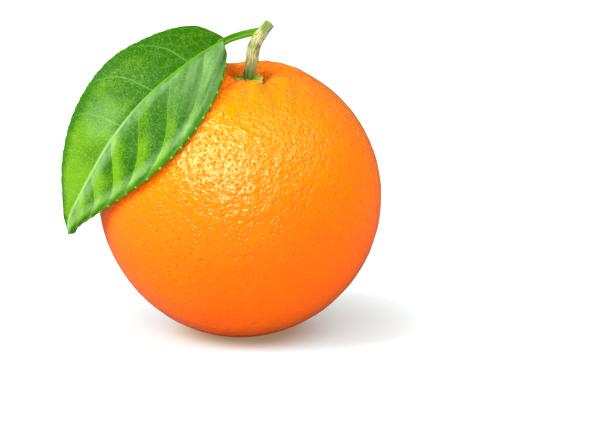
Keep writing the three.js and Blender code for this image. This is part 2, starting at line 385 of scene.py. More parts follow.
# %% Pits and grain
GLAND_SPACING = 1.3 * MM
GRAIN_SIZE = 0.6 * MM
WRINKLE_SIZE = 1.8 * MM
RELIEF_DEPTH = 0.38 * MM

peel, tree, shader = new_material("waxy orange peel")
place = add(tree, "ShaderNodeTexCoord").outputs["Object"]
rise = add(tree, "ShaderNodeSeparateXYZ", None, place).outputs["Z"]

# The cells' distance is 0 at a gland's centre, so the pit is lowest there
glands = add(tree, "ShaderNodeTexVoronoi", None, Vector=place, Scale=1 / GLAND_SPACING, Randomness=0.9)
pit = add(tree, "ShaderNodeMapRange", SMOOTH, Value=glands, From_Min=0.02, From_Max=0.42)
grain = add(tree, "ShaderNodeTexNoise", None, Vector=place, Scale=1 / GRAIN_SIZE, Detail=2.0, Roughness=0.6)
wrinkles = add(tree, "ShaderNodeTexNoise", None, Vector=place, Scale=1 / WRINKLE_SIZE, Detail=2.0)
uneven = add(tree, "ShaderNodeMath", TIMES_PLUS, grain, 0.3, pit)
height = add(tree, "ShaderNodeMath", TIMES_PLUS, wrinkles, 2.2, uneven)
coarseness = add(tree, "ShaderNodeMapRange", SMOOTH, Value=rise, From_Min=15 * MM, From_Max=62 * MM,
                 To_Min=0.5, To_Max=1.0)
relief = add(tree, "ShaderNodeBump", None, Strength=coarseness, Distance=RELIEF_DEPTH, Height=height)
print("pits", round(GLAND_SPACING / MM, 1), "mm apart")

# %% [markdown]
# ## The colour and gloss of the peel
#
# The colour goes from golden at the shoulder to a deeper orange below, with faint patches between. The pits
# are a little darker. Inside the stem basin the peel is painted redder and darker, a painted shade of the
# hollow. The wax sparkles over the relief, and a faint pink sheen lies along the fruit's edges. Light sinks
# a little way in, which keeps the shadows warm.

# %% Waxy orange peel
BASIN_FLOOR = Vector((3.0, -7.2, 74.0)) * MM
PATCH_SIZE = 22 * MM

by_height = add(tree, "ShaderNodeMapRange", SMOOTH, Value=rise, From_Min=25 * MM, From_Max=78 * MM)
patches = add(tree, "ShaderNodeTexNoise", None, Vector=place, Scale=1 / PATCH_SIZE, Detail=2.0)
drift = add(tree, "ShaderNodeMath", TIMES_PLUS, patches, 0.3, by_height)
golden_share = add(tree, "ShaderNodeMapRange", None, Value=drift, From_Min=0.1, From_Max=1.0)
tone = add(tree, "ShaderNodeMix", COLORS, golden_share, linear("#FA5D00"), linear("#F67A00"))
gland_tone = add(tree, "ShaderNodeMapRange", None, Value=glands, From_Min=0.0, From_Max=0.45,
                 To_Min=0.95, To_Max=1.0)
pitted = add(tree, "ShaderNodeMix", {**COLORS, "blend_type": "MULTIPLY"}, 1.0, tone, gland_tone)
# Painted shade: the peel turns redder and darker towards the basin floor, as the shade of the hollow
from_basin = add(tree, "ShaderNodeVectorMath", DISTANCE, place, BASIN_FLOOR)
basin_painted_shade = add(tree, "ShaderNodeMapRange", SMOOTH, Value=from_basin, From_Min=3 * MM, From_Max=9 * MM,
               To_Min=0.7, To_Max=0.0)
peel_color = add(tree, "ShaderNodeMix", COLORS, basin_painted_shade, pitted, linear("#B84402"))
connect(tree, shader, Base_Color=peel_color, Normal=relief, Roughness=0.12, IOR=1.45,
        Specular_IOR_Level=1.0, Specular_Tint=linear("#FFEBC4"),
        Sheen_Weight=0.11, Sheen_Roughness=0.35, Sheen_Tint=linear("#FFD2C4"),
        Subsurface_Weight=0.05, Subsurface_Radius=(1.0, 0.35, 0.1), Subsurface_Scale=2 * MM)
finish_piece("peel", fruit_bm, peel, "fruit")

# %% [markdown]
# ## Frames along a curve
#
# The twig, the leaf stalk and the midrib all follow smooth curves through a few given points. At each share
# of such a curve's length, three directions are needed: along it, out to its side, and out of its face.


# %% Curve frames
class Path:
    """A smooth curve through points, measured by its length, with its side kept near a given direction."""

    STEPS = 60
    SLOPE_REACH = 0.004

    def __init__(self, points, right):
        ends = [points[0] * 2 - points[1], *points, points[-1] * 2 - points[-2]]
        self.points = []
        for first, start, stop, last in zip(ends, ends[1:], ends[2:], ends[3:]):
            for step in range(self.STEPS):
                self.points.append(self.blend(first, start, stop, last, step / self.STEPS))
        self.points.append(points[-1].copy())
        self.reach = [0.0]
        for before, after in zip(self.points, self.points[1:]):
            self.reach.append(self.reach[-1] + (after - before).length)
        self.length = self.reach[-1]
        self.right = right.normalized()

    @staticmethod
    def blend(first, start, stop, last, share):
        """Catmull-Rom interpolation between start and stop."""
        leave = (stop - first) / 2
        arrive = (last - start) / 2
        cubic = 2 * (start - stop) + leave + arrive
        square = 3 * (stop - start) - 2 * leave - arrive
        return cubic * share ** 3 + square * share ** 2 + leave * share + start

    def point(self, share):
        """The point at a share of the length."""
        goal = max(0.0, min(1.0, share)) * self.length
        low, high = 0, len(self.reach) - 1
        while high - low > 1:
            middle = (low + high) // 2
            low, high = (middle, high) if self.reach[middle] <= goal else (low, middle)
        part = (goal - self.reach[low]) / (self.reach[high] - self.reach[low])
        return self.points[low].lerp(self.points[high], part)

    def frame(self, share):
        """The point, the direction along, the side and the facing direction."""
        point = self.point(share)
        along = (self.point(share + self.SLOPE_REACH) - self.point(share - self.SLOPE_REACH)).normalized()
        side = (self.right - along * self.right.dot(along)).normalized()
        return point, along, side, along.cross(side)


def smooth_value(values, share):
    """A smooth line through evenly spaced values."""
    position = max(0.0, min(1.0, share)) * (len(values) - 1)
    index = min(int(position), len(values) - 2)
    first = values[max(index - 1, 0)]
    last = values[min(index + 2, len(values) - 1)]
    return Path.blend(first, values[index], values[index + 1], last, position - index)


# %% [markdown]
# ## The leaf's form
#
# An orange leaf is a waxy oval, folded a little along its midrib. The blade swells up between its side
# veins, most of all in its right half, and its margin curls down and is finely scalloped. Both halves
# share one set of formulas, with their own widths and veins. The widths are given from foot to tip, at
# steps that lie closer together near both ends.

# %% Leaf formula
MIDRIB = Path([
    Vector((-4.6, -11.0, 85.2)),
    Vector((-13.3, -17.2, 80.4)),
    Vector((-24.7, -22.0, 71.5)),
    Vector((-34.4, -23.6, 60.0)),
    Vector((-41.7, -18.4, 47.3)),
    Vector((-47.0, -12.5, 36.6)),
    Vector((-48.0, -10.4, 31.0)),
], Vector((0.64, -0.54, -0.55)))
RIGHT_HALF = {
    "widths": [1.8, 4.5, 9.4, 14.8, 18.1, 17.6, 13.0, 8.4, 4.8, 2.4, 0.8],
    "first_vein": 6.6,
    "vein_spacing": 12.3,
    "vein_slant": 1.0,
    "vein_bend": 0.0,
    "vein_loop": 12.0,
    "quilting": 1.1,
    "foot_bulge": 0.5,
}
LEFT_HALF = {
    "widths": [5.8, 9.2, 12.0, 14.6, 16.7, 16.0, 14.0, 10.3, 5.1, 1.6, 0.8],
    "first_vein": 12.5,
    "vein_spacing": 13.0,
    "vein_slant": 0.2,
    "vein_bend": 0.01,
    "vein_loop": 5.0,
    "quilting": 0.35,
    "foot_bulge": 1.7,
}
FOLD = math.tan(math.radians(3))
MARGIN_CURL = 0.8
MARGIN_CURL_POWER = 4
TOOTH_SPACING = 3.8
TOOTH_DEPTH = 0.14
QUILTING_FULLNESS = 0.7
VEIN_LOOP_POWER = 6
FOOT_ROUNDING = 1.6
FOOT_LEAST_WIDTH = 0.2
FOOT_BULGE_REACH = 4.0


def vein_phase(half, fraction, across, distance):
    """Counts side veins: a whole number lies on a vein. Near the margin the veins loop towards the tip."""
    along = distance - half["first_vein"] - half["vein_slant"] * across - half["vein_bend"] * across ** 2
    return (along - half["vein_loop"] * fraction ** VEIN_LOOP_POWER) / half["vein_spacing"]


def quilting_height(half, fraction, phase):
    """How far the blade bulges between the side veins of a half."""
    envelope = math.sin(math.pi * fraction) ** QUILTING_FULLNESS
    return half["quilting"] * envelope * (abs(math.sin(math.pi * phase)) - 0.5)


def half_width(half, row, distance):
    """From the midrib to the margin, with its teeth and the rounded foot."""
    tooth = TOOTH_DEPTH * math.sin(math.pi * row) * math.sin(2 * math.pi * distance / TOOTH_SPACING)
    to_foot = 1 - min(1.0, distance / FOOT_ROUNDING)
    return (smooth_value(half["widths"], row) + tooth) * max(FOOT_LEAST_WIDTH, math.sqrt(1 - to_foot ** 2))


print("the midrib is", round(MIDRIB.length, 1), "mm long")

# %% [markdown]
# ## The blade's mesh
#
# A flat grid is laid out first, and every point is moved to its place. Attributes keep what the material
# needs: the point's straight position (millimetres across and along, and a count of side veins), its
# distance from the margin, and the side that it is on. A copy of the grid, turned over, makes the
# underside with its raised midrib, and a bridge between the two rims closes the blade. On the upper side
# the midrib is a fine ridge between two grooves.

# %% Leaf
LEAF_COLUMNS = 110
LEAF_ROWS = 220
COLUMN_CROWDING = 1.3
BLADE_THICKNESS = 0.6
MIDRIB_HEIGHT = 1.0
MIDRIB_HALF_WIDTH = 0.9
MIDRIB_TAPER = 0.7
RIDGE_HEIGHT = 0.3
RIDGE_HALF_WIDTH = 0.38
RIDGE_TAPER = 0.6
GROOVE_DEPTH = 0.12
GROOVE_PLACE = 0.9
GROOVE_HALF_WIDTH = 0.4


def blade_point(column, row):
    """The middle surface at column -1 to 1 and row 0 to 1: place, facing, straight position and inset."""
    half = RIGHT_HALF if column > 0 else LEFT_HALF
    side = math.copysign(1, column)
    fraction = min(1.0, abs(column)) ** COLUMN_CROWDING
    share = (1 - math.cos(math.pi * row)) / 2
    distance = share * MIDRIB.length
    point, along, right, facing = MIDRIB.frame(share)
    width = half_width(half, row, distance)
    across = fraction * width
    phase = vein_phase(half, fraction, across, distance)
    lift = across * FOLD - MARGIN_CURL * fraction ** MARGIN_CURL_POWER
    lift += quilting_height(half, fraction, phase)
    bulge = half["foot_bulge"] * math.sin(math.pi * fraction) * math.exp(-distance / FOOT_BULGE_REACH)
    place = point + right * (side * across) + facing * lift - along * bulge
    return place, facing, Vector((side * across, distance, phase)), width - across


def make_leaf():
    """The blade as one closed body, in metres."""
    bm = bmesh.new()
    straight = bm.verts.layers.float_vector.new("straight")
    from_margin = bm.verts.layers.float.new("from_margin")
    underside = bm.verts.layers.float.new("underside")
    bmesh.ops.create_grid(bm, x_segments=LEAF_COLUMNS, y_segments=LEAF_ROWS, size=1)
    upper = bm.verts[:]
    copy = bmesh.ops.duplicate(bm, geom=bm.verts[:] + bm.edges[:] + bm.faces[:])
    twin = {vert: copy["vert_map"][vert] for vert in upper}
    lower_faces = [item for item in copy["geom"] if isinstance(item, bmesh.types.BMFace)]
    bmesh.ops.reverse_faces(bm, faces=lower_faces)
    for vert in upper:
        place, facing, flat, inset = blade_point(vert.co.x, (1 - vert.co.y) / 2)
        share = flat.y / MIDRIB.length
        beside_groove = (abs(flat.x) - GROOVE_PLACE) / GROOVE_HALF_WIDTH
        rib = MIDRIB_HEIGHT * math.exp(-((flat.x / MIDRIB_HALF_WIDTH) ** 2)) * (1 - MIDRIB_TAPER * share)
        ridge = RIDGE_HEIGHT * math.exp(-((flat.x / RIDGE_HALF_WIDTH) ** 2)) * (1 - RIDGE_TAPER * share)
        groove = GROOVE_DEPTH * math.exp(-(beside_groove ** 2))
        for side_vert in (vert, twin[vert]):
            side_vert[straight] = flat
            side_vert[from_margin] = inset
        twin[vert][underside] = 1.0
        twin[vert].co = (place - facing * (BLADE_THICKNESS / 2 + rib)) * MM
        vert.co = (place + facing * (BLADE_THICKNESS / 2 + ridge - groove)) * MM
    rims = [edge for edge in bm.edges if edge.is_boundary]
    bmesh.ops.bridge_loops(bm, edges=rims)
    bmesh.ops.recalc_face_normals(bm, faces=bm.faces[:])
    return bm


leaf_bm = make_leaf()
print("the blade has", len(leaf_bm.verts), "points")

# %% [markdown]
# ## Veins and glands of the leaf
#
# The material reads the straight positions, so that its pattern follows the blade however it bends. Its
# sizes are millimetres. A fine net of small veins lies between the side veins, and pale oil glands 0.6 mm
# apart show as a stipple. The dots are drawn larger than real glands, because finer ones would be lost.

# %% Leaf pattern
VEIN_SPACING = 12.0
NET_SIZE = 2.6
LEAF_GLAND_SPACING = 0.62

leaf_green, tree, shader = new_material("waxy citrus leaf")
spot = add(tree, "ShaderNodeAttribute", {"attribute_name": "straight"}).outputs["Vector"]
margin = add(tree, "ShaderNodeAttribute", {"attribute_name": "from_margin"}).outputs["Fac"]
underside = add(tree, "ShaderNodeAttribute", {"attribute_name": "underside"}).outputs["Fac"]
across, along, phase = add(tree, "ShaderNodeSeparateXYZ", None, spot).outputs
sheet = add(tree, "ShaderNodeVectorMath", TIMES, spot, (1, 1, 0))

# Distance from the midrib, and from the nearest side vein with a slight wobble
from_midrib = add(tree, "ShaderNodeMath", ABSOLUTE, across)
wobble = add(tree, "ShaderNodeTexNoise", None, Vector=sheet, Scale=0.25, Detail=2.0)
wavy = add(tree, "ShaderNodeMath", TIMES_PLUS, wobble, 0.12, phase)
folded = add(tree, "ShaderNodeMath", {"operation": "PINGPONG"}, wavy, 0.5)
from_vein = add(tree, "ShaderNodeMath", TIMES, folded, VEIN_SPACING)
vein_mask = add(tree, "ShaderNodeMapRange", SMOOTH, Value=from_vein, From_Min=0.0, From_Max=0.35,
                To_Min=0.35, To_Max=0.0)
net = add(tree, "ShaderNodeTexVoronoi", {"feature": "DISTANCE_TO_EDGE"}, Vector=sheet, Scale=1 / NET_SIZE)
net_mask = add(tree, "ShaderNodeMapRange", SMOOTH, Value=net, From_Min=0.0, From_Max=0.12,
               To_Min=0.1, To_Max=0.0)
veins = add(tree, "ShaderNodeMath", LARGER, vein_mask, net_mask)
glands = add(tree, "ShaderNodeTexVoronoi", None, Vector=sheet, Scale=1 / LEAF_GLAND_SPACING)
gland_mask = add(tree, "ShaderNodeMapRange", SMOOTH, Value=glands, From_Min=0.08, From_Max=0.4,
                 To_Min=0.24, To_Max=0.0)
print("glands", LEAF_GLAND_SPACING, "mm apart")

# %% [markdown]
# ## Greens of the blade
#
# One number says how pale the green is, and it adds up the leaf's own tones and painted light and shade. The
# blade gets paler towards the tip, and is mottled and grainy. It is darkest beside the midrib near the foot,
# a painted shade of the midrib's grooves. In the right half each band between two side veins goes from deep
# green, on its side by the foot, to pale, the painted light and shade of the bulge between the veins. Near
# the margin the right half turns paler and the left half greener.

# %% Leaf colour
MOTTLE_SIZE = 9
LEAF_GRAIN_SIZE = 0.45

mottle = add(tree, "ShaderNodeTexNoise", None, Vector=sheet, Scale=1 / MOTTLE_SIZE, Detail=3.0)
to_tip = add(tree, "ShaderNodeMapRange", SMOOTH, Value=along, From_Min=15.0, From_Max=62.0,
             To_Min=-0.3, To_Max=0.22)
tip_paleness = add(tree, "ShaderNodeMath", PLUS, mottle, to_tip)
grain = add(tree, "ShaderNodeTexNoise", None, Vector=sheet, Scale=1 / LEAF_GRAIN_SIZE, Detail=2.0)
grained = add(tree, "ShaderNodeMath", TIMES_PLUS, grain, 0.9, -0.45)
speckled = add(tree, "ShaderNodeMath", PLUS, tip_paleness, grained)

past_foot = add(tree, "ShaderNodeMapRange", SMOOTH, Value=along, From_Min=18.0, From_Max=48.0)
# Painted shade: darker beside the midrib near the foot, as the shade of the midrib's grooves
beside = add(tree, "ShaderNodeMapRange", SMOOTH, Value=from_midrib, From_Min=0.5, From_Max=2.6,
             To_Min=-0.4, To_Max=0.0)
near_foot = add(tree, "ShaderNodeMath", TIMES_PLUS, past_foot, -1.0, 1.0)
with_rib_shade = add(tree, "ShaderNodeMath", TIMES_PLUS, beside, near_foot, speckled)

right_half = add(tree, "ShaderNodeMath", {"operation": "GREATER_THAN"}, across, 0.0)
# Painted light and shade: each right-half band is deep green by the foot and pale beyond, as its shaded and
# lit bulge
band = add(tree, "ShaderNodeMath", {"operation": "FRACT"}, wavy)
band_painted_shading = add(tree, "ShaderNodeMapRange", SMOOTH, Value=band, From_Min=0.1, From_Max=0.8,
                To_Min=-0.42, To_Max=0.12)
right_band_shading = add(tree, "ShaderNodeMath", TIMES, band_painted_shading, right_half)
edge = add(tree, "ShaderNodeMapRange", SMOOTH, Value=margin, From_Min=1.2, From_Max=4.5,
           To_Min=1.0, To_Max=0.0)
edge_side = add(tree, "ShaderNodeMapRange", None, Value=right_half, To_Min=-0.3, To_Max=0.25)
edge_tone = add(tree, "ShaderNodeMath", TIMES, edge, edge_side)
parted = add(tree, "ShaderNodeMath", PLUS, right_band_shading, edge_tone)
paleness = add(tree, "ShaderNodeMath", PLUS, with_rib_shade, parted)

pale_share = add(tree, "ShaderNodeMapRange", None, Value=paleness, From_Min=0.25, From_Max=0.75)
blade = add(tree, "ShaderNodeMix", COLORS, pale_share, linear("#235003"), linear("#56800E"))
dotted = add(tree, "ShaderNodeMix", COLORS, gland_mask, blade, linear("#86B848"))
veined = add(tree, "ShaderNodeMix", COLORS, veins, dotted, linear("#6A973C"))
print("the leaf's colour takes", len(tree.nodes), "nodes so far")

# %% [markdown]
# ## Painted sheen on the leaf
#
# A pale, whitish green painted sheen stands for the gloss where it caught the light, and dulls the green. In
# the right half it lies beside the midrib, at the foot and in a band inside the margin, in streaks that run
# along the veins. In the left half there is one soft spot of it.

# %% Painted sheen
LEFT_SHEEN_CENTRE = (-6.0, 40.0, 0.0)
STREAKS_ALONG_VEINS = (0.1, 0, 3.0)

# Painted sheen: pale whitish green where the leaf's gloss caught the light
by_midrib = add(tree, "ShaderNodeMapRange", SMOOTH, Value=across, From_Min=0.5, From_Max=4.0,
                To_Min=0.42, To_Max=0.0)
by_foot = add(tree, "ShaderNodeMapRange", SMOOTH, Value=along, From_Min=6.0, From_Max=31.0,
              To_Min=0.42, To_Max=0.0)
sheen_by_midrib_and_foot = add(tree, "ShaderNodeMath", LARGER, by_midrib, by_foot)
margin_rise = add(tree, "ShaderNodeMapRange", SMOOTH, Value=margin, From_Min=1.0, From_Max=2.4)
margin_fall = add(tree, "ShaderNodeMapRange", SMOOTH, Value=margin, From_Min=2.6, From_Max=5.0,
                  To_Min=0.36, To_Max=0.0)
by_margin = add(tree, "ShaderNodeMath", TIMES, margin_rise, margin_fall)
sheen_anywhere = add(tree, "ShaderNodeMath", LARGER, sheen_by_midrib_and_foot, by_margin)
one_side = add(tree, "ShaderNodeMath", TIMES, sheen_anywhere, right_half)
streaks = add(tree, "ShaderNodeVectorMath", TIMES, spot, STREAKS_ALONG_VEINS)
streak_noise = add(tree, "ShaderNodeTexNoise", None, Vector=streaks, Scale=1.0, Detail=2.0)
streak_part = add(tree, "ShaderNodeMapRange", None, Value=streak_noise, From_Min=0.35, From_Max=0.65,
                  To_Min=0.35, To_Max=1.25)
right_half_sheen = add(tree, "ShaderNodeMath", TIMES, one_side, streak_part)
from_left_sheen = add(tree, "ShaderNodeVectorMath", DISTANCE, sheet, LEFT_SHEEN_CENTRE)
left_sheen_spot = add(tree, "ShaderNodeMapRange", SMOOTH, Value=from_left_sheen, From_Min=1.0, From_Max=9.5,
            To_Min=0.2, To_Max=0.0)
painted_sheen = add(tree, "ShaderNodeMath", LARGER, right_half_sheen, left_sheen_spot)
with_painted_sheen = add(tree, "ShaderNodeMix", COLORS, painted_sheen, veined, linear("#84A66E"))
print("wax round", LEFT_SHEEN_CENTRE[:2], "mm and in the right half")

# %% [markdown]
# ## Midrib, rim, teeth and underside
#
# The midrib is a bright green line that pales towards the tip. The rim is darker than the blade, with a
# pale gland at the crest of each tooth. The underside is paler and duller. The surface is softly glossy,
# with its veins sunk a little and its glands raised, and a little light spreads inside the blade.

# %% Waxy citrus leaf
LEATHER_SIZE = 0.5
LEAF_RELIEF_DEPTH = 0.06 * MM

midrib_mask = add(tree, "ShaderNodeMapRange", SMOOTH, Value=from_midrib, From_Min=0.15, From_Max=0.55,
                  To_Min=0.95, To_Max=0.0)
rib_tone = add(tree, "ShaderNodeMix", COLORS, past_foot, linear("#4C8206"), linear("#7A9C58"))
ribbed = add(tree, "ShaderNodeMix", COLORS, midrib_mask, with_painted_sheen, rib_tone)
rim = add(tree, "ShaderNodeMapRange", SMOOTH, Value=margin, From_Min=0.4, From_Max=2.2,
          To_Min=0.7, To_Max=0.0)
rimmed = add(tree, "ShaderNodeMix", COLORS, rim, ribbed, linear("#225A04"))
tooth_turn = add(tree, "ShaderNodeMath", TIMES, along, 2 * math.pi / TOOTH_SPACING)
tooth_wave = add(tree, "ShaderNodeMath", {"operation": "SINE"}, tooth_turn)
tooth_crest = add(tree, "ShaderNodeMapRange", SMOOTH, Value=tooth_wave, From_Min=0.8, From_Max=0.97)
tooth_edge = add(tree, "ShaderNodeMapRange", SMOOTH, Value=margin, From_Min=0.15, From_Max=0.6,
                 To_Min=0.5, To_Max=0.0)
tooth_gland = add(tree, "ShaderNodeMath", TIMES, tooth_crest, tooth_edge)
toothed = add(tree, "ShaderNodeMix", COLORS, tooth_gland, rimmed, linear("#9CC854"))
under_part = add(tree, "ShaderNodeMath", TIMES, underside, 0.6)
turned = add(tree, "ShaderNodeMix", COLORS, under_part, toothed, linear("#7A9C58"))

leather = add(tree, "ShaderNodeTexNoise", None, Vector=sheet, Scale=1 / LEATHER_SIZE, Detail=2.0)
sunken_veins = add(tree, "ShaderNodeMath", TIMES_PLUS, veins, -1.2, leather)
raised_glands = add(tree, "ShaderNodeMath", TIMES_PLUS, gland_mask, 0.8, sunken_veins)
relief = add(tree, "ShaderNodeBump", None, Strength=0.8, Distance=LEAF_RELIEF_DEPTH, Height=raised_glands)
connect(tree, shader, Base_Color=turned, Normal=relief, Roughness=0.42, Specular_IOR_Level=0.06,
        Subsurface_Weight=0.1, Subsurface_Radius=(0.3, 1.0, 0.1), Subsurface_Scale=0.8 * MM)
finish_piece("leaf_blade", leaf_bm, leaf_green, "leaf")

# %% [markdown]
# ## Rods
#
# The twig and the leaf stalk are rods along a curve. A circle is extruded step by step into a straight rod
# one unit long, its ends are closed, and then each point goes to its place on the curve. As on the leaf,
# the straight position in millimetres stays behind as an attribute.

# %% Rod helper
CAP_RINGS = 3
CAP_RING_WIDTH = 0.25


def make_rod(path, sides, steps, section):
    """A closed rod along a path. section(share, angle) gives its outline's offsets in the path's frame."""
    bm = bmesh.new()
    straight = bm.verts.layers.float_vector.new("straight")
    bmesh.ops.create_circle(bm, segments=sides, radius=1)
    first_ring = bm.edges[:]
    ring = first_ring
    for step in range(steps):
        grown = bmesh.ops.extrude_edge_only(bm, edges=ring)["geom"]
        ring = [item for item in grown if isinstance(item, bmesh.types.BMEdge)]
        verts = [item for item in grown if isinstance(item, bmesh.types.BMVert)]
        bmesh.ops.translate(bm, verts=verts, vec=(0, 0, 1 / steps))
    for rim in (first_ring, ring):
        cap = bmesh.ops.contextual_create(bm, geom=rim)["faces"]
        for _ in range(CAP_RINGS):
            bmesh.ops.inset_region(bm, faces=cap, thickness=CAP_RING_WIDTH, use_even_offset=True)
        bmesh.ops.poke(bm, faces=cap)
    for vert in bm.verts:
        share = max(0.0, min(1.0, vert.co.z))
        angle = math.atan2(vert.co.y, vert.co.x)
        reach = math.hypot(vert.co.x, vert.co.y)
        across, upward = section(share, angle)
        point, along, side, facing = path.frame(share)
        vert[straight] = Vector((across * reach, upward * reach, share * path.length))
        vert.co = (point + side * (across * reach) + facing * (upward * reach)) * MM
    bmesh.ops.recalc_face_normals(bm, faces=bm.faces[:])
    return bm


def ease(value, low, high):
    """0 below low, 1 above high and a smooth step between them."""
    share = max(0.0, min(1.0, (value - low) / (high - low)))
    return share * share * (3 - 2 * share)


# %% [markdown]
# ## The twig
#
# The fruit hangs on a young twig with a few blunt ribs, which was cut just above the leaf. It is thickest
# halfway, a little thinner at the foot and thinner still at the cut.

# %% Twig
TWIG = Path([
    Vector((2.9, -7.6, 75.1)),
    Vector((3.6, -9.2, 79.7)),
    Vector((4.2, -9.9, 83.5)),
    Vector((5.2, -9.7, 85.7)),
    Vector((6.7, -9.1, 87.7)),
    Vector((8.7, -7.7, 89.9)),
], Vector((1, 0, 0)))
TWIG_SIDES = 60
TWIG_STEPS = 90
STEM_FOOT_RADIUS = 1.75
STEM_RADIUS = 1.85
STEM_CUT_RADIUS = 1.45
STEM_RIBS = 5
STEM_RIB_HEIGHT = 0.14
BARK_HEIGHT = 0.05
BARK_LUMPS_AROUND = 3
BARK_LUMPS_ALONG = 9


def twig_section(share, angle):
    """The twig's outline with its ribs and its uneven bark."""
    near_foot = (STEM_FOOT_RADIUS - STEM_RADIUS) * ease(1 - share, 0.5, 1)
    near_cut = (STEM_CUT_RADIUS - STEM_RADIUS) * ease(share, 0.5, 1)
    rib = STEM_RIB_HEIGHT * math.cos(STEM_RIBS * angle + share)
    circle = Vector((math.cos(angle), math.sin(angle), 0)) * BARK_LUMPS_AROUND
    uneven = BARK_HEIGHT * noise.noise(circle + Vector((0, 0, BARK_LUMPS_ALONG * share)))
    radius = STEM_RADIUS + near_foot + near_cut + rib + uneven
    return radius * math.cos(angle), radius * math.sin(angle)


twig_bm = make_rod(TWIG, TWIG_SIDES, TWIG_STEPS, twig_section)
print("the twig is", round(TWIG.length, 1), "mm long")

# %% [markdown]
# ## Bark
#
# Strips of straw coloured cork have begun to cover the green bark, least at the foot, at the bend and by
# the cut. Their patterns are five times as long as they are wide: the greens change over 1.1 mm, the cork
# strips are 0.4 mm wide, and the fibres in the cork 0.2 mm. Dark cracks run along all of it. They are
# drawn 0.3 mm apart, coarser than real ones, so that they show.

# %% Green bark with cork
BARK_WIDTH = 0.9
BARK_LENGTH = 4.5
CRACK_WIDTH = 0.3
CRACK_LENGTH = 2.4

# Each stop: share of the twig's length, and how much cork there is
CORK_ALONG = [
    (0.0, 0.0),
    (0.12, 0.25),
    (0.3, 0.75),
    (0.5, 0.8),
    (0.56, 0.25),
    (0.62, 0.8),
    (0.78, 0.75),
    (0.88, 0.35),
    (1.0, 0.25),
]

bark, tree, shader = new_material("green bark with cork")
spot = add(tree, "ShaderNodeAttribute", {"attribute_name": "straight"}).outputs["Vector"]
from_foot = add(tree, "ShaderNodeSeparateXYZ", None, spot).outputs["Z"]
strips = add(tree, "ShaderNodeVectorMath", TIMES, spot, (1 / BARK_WIDTH, 1 / BARK_WIDTH, 1 / BARK_LENGTH))

# Cork
share = add(tree, "ShaderNodeMath", {"operation": "DIVIDE"}, from_foot, TWIG.length)
cork_zone = add(tree, "ShaderNodeValToRGB", None, share)
stops = cork_zone.color_ramp.elements
for position, _ in CORK_ALONG[1:-1]:
    stops.new(position)
for stop, (_, amount) in zip(stops, CORK_ALONG):
    stop.color = (amount, amount, amount, 1)
cork_noise = add(tree, "ShaderNodeTexNoise", None, Vector=strips, Scale=2.3, Detail=6.0, Roughness=0.72)
cork_part = add(tree, "ShaderNodeMath", TIMES, cork_zone, 0.2)
cork_sum = add(tree, "ShaderNodeMath", PLUS, cork_noise, cork_part)
cork_mask = add(tree, "ShaderNodeMapRange", SMOOTH, Value=cork_sum, From_Min=0.56, From_Max=0.65)

# Greens and straw
green_noise = add(tree, "ShaderNodeTexNoise", None, Vector=strips, Scale=0.8, Detail=3.0)
green_share = add(tree, "ShaderNodeMapRange", None, Value=green_noise, From_Min=0.35, From_Max=0.65)
green = add(tree, "ShaderNodeMix", COLORS, green_share, linear("#3A6218"), linear("#7C9C38"))
straw_noise = add(tree, "ShaderNodeTexNoise", None, Vector=strips, Scale=4.0, Detail=5.0, Roughness=0.7)
straw_share = add(tree, "ShaderNodeMapRange", None, Value=straw_noise, From_Min=0.3, From_Max=0.7)
straw = add(tree, "ShaderNodeMix", COLORS, straw_share, linear("#7E7646"), linear("#CCC28A"))
barked = add(tree, "ShaderNodeMix", COLORS, cork_mask, green, straw)

# Cracks
crack_scale = (1 / CRACK_WIDTH, 1 / CRACK_WIDTH, 1 / CRACK_LENGTH)
cracks = add(tree, "ShaderNodeVectorMath", TIMES, spot, crack_scale)
crack_noise = add(tree, "ShaderNodeTexNoise", None, Vector=cracks, Scale=1.0, Detail=2.0)
crack_mask = add(tree, "ShaderNodeMapRange", SMOOTH, Value=crack_noise, From_Min=0.55, From_Max=0.72,
                 To_Min=0.0, To_Max=0.75)
cracked = add(tree, "ShaderNodeMix", COLORS, crack_mask, barked, linear("#4C4A22"))
rough = add(tree, "ShaderNodeMath", TIMES_PLUS, cork_noise, 1.5, cork_mask)
relief = add(tree, "ShaderNodeBump", None, Strength=0.9, Distance=0.15 * MM, Height=rough)
connect(tree, shader, Base_Color=cracked, Normal=relief, Roughness=0.7)
finish_piece("twig", twig_bm, bark, "stem")

# %% [markdown]
# ## The leaf stalk
#
# The petiole is a smooth green stalk with a groove along its upper side. It grows out of the twig, so its
# start is sunk a little way into it, and it ends at the foot of the blade. The groove is painted darker than
# the stalk's shoulders, a painted shade in the groove, except beside the twig, and fine fibres run along it.

# %% Leaf stalk
STALK = Path([
    Vector((6.3, -9.1, 88.2)),
    Vector((4.4, -9.3, 87.8)),
    Vector((2.2, -9.5, 87.4)),
    Vector((-0.1, -9.9, 86.8)),
    Vector((-2.3, -10.4, 86.1)),
    Vector((-4.6, -11.1, 85.0)),
    Vector((-7.4, -13.0, 83.2)),
], Vector((0, -0.5, -1)))
STALK_SIDES = 40
STALK_STEPS = 60
STALK_HALF_WIDTH = 1.1
STALK_HALF_HEIGHT = 0.85
STALK_GROOVE_DEPTH = 0.3
STALK_GROOVE_SPREAD = 0.2
STALK_TAPER = 0.65
STALK_TAPER_START = 0.72
FIBRES_ALONG = (5, 5, 0.6)


def stalk_section(share, angle):
    """The stalk's outline, an oval with a groove on top."""
    groove = STALK_GROOVE_DEPTH * math.exp(-((angle - math.pi / 2) ** 2) / STALK_GROOVE_SPREAD)
    taper = 1 - STALK_TAPER * ease(share, STALK_TAPER_START, 1)
    half_height = STALK_HALF_HEIGHT - groove
    return taper * STALK_HALF_WIDTH * math.cos(angle), taper * half_height * math.sin(angle)


